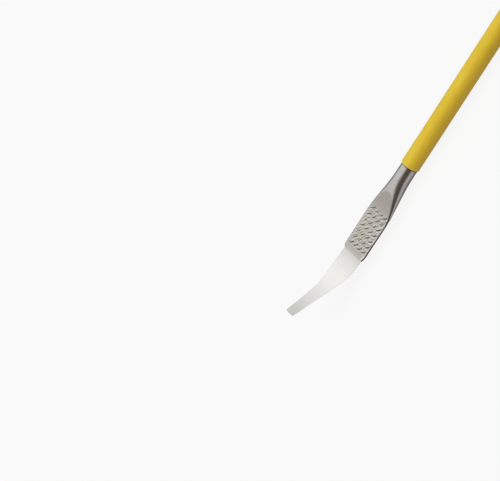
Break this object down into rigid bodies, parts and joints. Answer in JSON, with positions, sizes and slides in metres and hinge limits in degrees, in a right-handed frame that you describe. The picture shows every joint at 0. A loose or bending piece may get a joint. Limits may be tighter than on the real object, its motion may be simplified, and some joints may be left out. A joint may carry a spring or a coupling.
{
  "type": "curved blade spudger",
  "caption": "Slim hand spudger: a thin curved steel blade in the flattened, embossed end of a steel tube with a yellow sleeve.",
  "frame": {"origin": "centre of the flat rear end face, on the tube's axis", "axes": "+X out of the rear face along the tube's axis, so the blade is at the -X end; +Z is the side the blade curves up to; Y is the blade's width"},
  "size_m": [0.1436, 0.0074, 0.0123],
  "materials": {
    "blade_steel": "polished thin spring steel, bright ground edges",
    "shank_steel": "satin drawn stainless tube, embossed grip pattern on the flat",
    "sleeve": "satin yellow, slightly uneven",
    "plug": "moulded, satin yellow"
  },
  "bodies": {
    "root": {"blade": "blade_steel", "shank_tube": "shank_steel", "grip_sleeve": "sleeve", "end_plug": "plug"}
  },
  "joints": []
}
